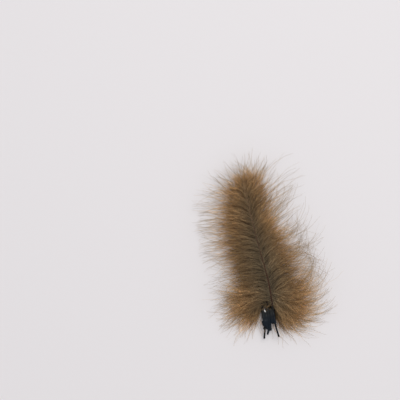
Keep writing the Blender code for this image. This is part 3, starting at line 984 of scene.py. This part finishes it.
def rounded_tube(line, radii):
    """A closed tube round a line of points, with a round cap at both ends."""
    tangent = unit(np.gradient(line, axis=0))

    def cap(i, way):
        """The rings of the cap at point i, from its pole to the tube."""
        out = tangent[i] * radii[i] * way
        angles = np.radians(np.array(CAP_ANGLES))
        return [(line[i] + out * math.cos(a), tangent[i], radii[i] * math.sin(a)) for a in angles]

    rings = cap(0, -1) + list(zip(line, tangent, radii)) + cap(-1, 1)[::-1]
    centres, ways, widths = (np.array(column) for column in zip(*rings))
    points = tube_points(centres, ways, np.maximum(widths, LEAST_RADIUS), TUBE_SIDES)
    walls = np.stack(tube_corners(len(rings), TUBE_SIDES), -1).reshape(-1, 4)
    first = np.arange(TUBE_SIDES)
    last = (len(rings) - 1) * TUBE_SIDES + first
    return points.reshape(-1, 3), [list(face) for face in walls] + [list(first[::-1]), list(last)]


def lacquer_tubes():
    """The sleeves and fillings as closed tubes, in mm of the layout."""
    tubes = []
    for layer, (feather, (low, high, low_radius, high_radius)) in enumerate(zip(FEATHERS, SLEEVES)):
        y = np.linspace(low, high, SLEEVE_RINGS)
        radii = np.linspace(low_radius, high_radius, SLEEVE_RINGS)
        tubes.append(rounded_tube(shaft_centre(feather, layer, y), radii))
    for x, z, low, high, low_radius, high_radius in FILLINGS:
        y = np.linspace(low, high, FILLING_RINGS)
        radii = np.linspace(low_radius, high_radius, FILLING_RINGS)
        tubes.append(rounded_tube(np.stack((np.full_like(y, x), y, np.full_like(y, z)), -1), radii))
    return tubes


def lacquer_mesh():
    """The tubes joined into one closed skin, in mm of the layout."""
    vertices, faces = [], []
    for points, sides in lacquer_tubes():
        faces += [[i + len(vertices) for i in side] for side in sides]
        vertices += [tuple(point) for point in points]
    rough = bpy.data.meshes.new("lacquer_rough")
    rough.from_pydata(vertices, [], faces)
    holder = new_object("lacquer_rough", rough)
    skin = holder.modifiers.new("skin", "REMESH")
    skin.mode = "VOXEL"
    skin.voxel_size = LACQUER_VOXEL
    soften = holder.modifiers.new("soften", "SMOOTH")
    soften.factor = 0.5
    soften.iterations = 5
    made = bpy.data.meshes.new_from_object(holder.evaluated_get(bpy.context.evaluated_depsgraph_get()))
    bpy.data.objects.remove(holder)
    bpy.data.meshes.remove(rough)
    return made


def lacquer_relief(points):
    """How far the skin stands out, in LACQUER_RIDGES: wandering ridges along the quills, and lumps.
    Both are made of waves, with their numbers in radians to the mm and as shares."""
    x, y, z = points.T
    wander = 0.5 * np.sin(0.9 * y + 1.3 * z) + 0.3 * np.sin(2.1 * y + 0.7)
    across = 2 * math.pi * x
    wide, narrow = RIDGE_SPACING
    ridges = np.sin(across / wide + 2.2 * wander) + 0.5 * np.sin(across / narrow - 3 * wander)
    lumps = np.sin(2.9 * y + 1.7 * x) * np.sin(1.9 * y - 2.3 * x + 1.0)
    return 0.6 * ridges + 1.2 * lumps


def make_band(lacquer):
    mesh = lacquer_mesh()
    count = len(mesh.vertices)
    points, normals = np.empty(count * 3), np.empty(count * 3)
    mesh.vertices.foreach_get("co", points)
    mesh.vertex_normals.foreach_get("vector", normals)
    points, normals = points.reshape(-1, 3), normals.reshape(-1, 3)
    points = points + normals * (LACQUER_RIDGES * lacquer_relief(points))[:, None]
    mesh.vertices.foreach_set("co", placed(points).astype(np.float32).ravel())
    mesh.polygons.foreach_set("use_smooth", np.ones(len(mesh.polygons), bool))
    mesh.materials.append(lacquer)
    mesh.update()
    band = new_object("lacquer_band", mesh)
    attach(band, "root")
    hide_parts("quill_band")


# The bead's pale colour is a painted highlight on the lacquer
def make_painted_glint_bead(bead):
    bpy.ops.mesh.primitive_uv_sphere_add(segments=20, ring_count=12, radius=MM)
    drop = bpy.context.object
    drop.name = "lacquer_drop"
    drop.scale = BEAD["half_size"]
    drop.rotation_euler = (0, 0, math.radians(BEAD["turn"]))
    drop.location = placed(np.array(BEAD["centre"]))
    drop.data.polygons.foreach_set("use_smooth", np.ones(len(drop.data.polygons), bool))
    drop.data.materials.append(bead)
    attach(drop, "root")


# The floor and the lights, in metres and watts
FLOOR_SIZE = 3.0
SKY_COLOUR = (0.95, 0.96, 1.0, 1.0)
SKY_STRENGTH = 0.75
LAMP_PLACE = (0.16, 0.22, 0.58)
LAMP_SIZE = 0.5
LAMP_POWER = 1.6


def make_floor():
    bpy.ops.mesh.primitive_plane_add(size=FLOOR_SIZE, location=(0, 0, 0))
    floor = bpy.context.object
    floor.name = "floor"
    floor.data.materials.append(floor_material())


def make_lights():
    world = bpy.data.worlds.new("studio")
    world.use_nodes = True
    sky = world.node_tree.nodes["Background"].inputs
    sky["Color"].default_value = SKY_COLOUR
    sky["Strength"].default_value = SKY_STRENGTH
    bpy.context.scene.world = world
    lamp = bpy.data.lights.new("soft_key", "AREA")
    lamp.shape = "DISK"
    lamp.size = LAMP_SIZE
    lamp.energy = LAMP_POWER
    obj = new_object("soft_key", lamp)
    obj.location = LAMP_PLACE
    obj.rotation_euler = (Vector((0, 0, 0)) - obj.location).to_track_quat("-Z", "Y").to_euler()


# The photograph's view: straight down, with the bunch leaning 8.5 degrees to the left and the
# layout's origin at BASE_PIXEL
PHOTO_PIXELS = 400
PIXELS_PER_MM = 3.63
BASE_PIXEL = (270.0, 312.0)
LEAN = math.radians(8.5)
CAMERA_HEIGHT = 0.60
SENSOR_WIDTH = 36


def make_camera():
    camera = bpy.data.cameras.new("camera")
    camera.sensor_width = SENSOR_WIDTH
    camera.lens = CAMERA_HEIGHT * camera.sensor_width / (PHOTO_PIXELS / PIXELS_PER_MM * MM)
    obj = new_object("camera", camera)
    turn = Matrix.Rotation(-LEAN, 4, "Z")
    to_middle = [(PHOTO_PIXELS / 2 - pixel) / PIXELS_PER_MM * MM for pixel in BASE_PIXEL]
    offset = turn @ Vector((to_middle[0], -to_middle[1], 0))
    base = Vector((SHIFT[0], SHIFT[1], 0))
    obj.matrix_world = Matrix.Translation(base + offset + Vector((0, 0, CAMERA_HEIGHT))) @ turn
    bpy.context.scene.camera = obj


make_floor()
make_lights()
make_camera()
bpy.context.scene.view_settings.view_transform = "Standard"
down = down_material()
shaft = shaft_material()
for layer, feather in enumerate(FEATHERS):
    make_feather(feather, layer, down, shaft)
make_band(lacquer_material())
make_painted_glint_bead(painted_glint_material())
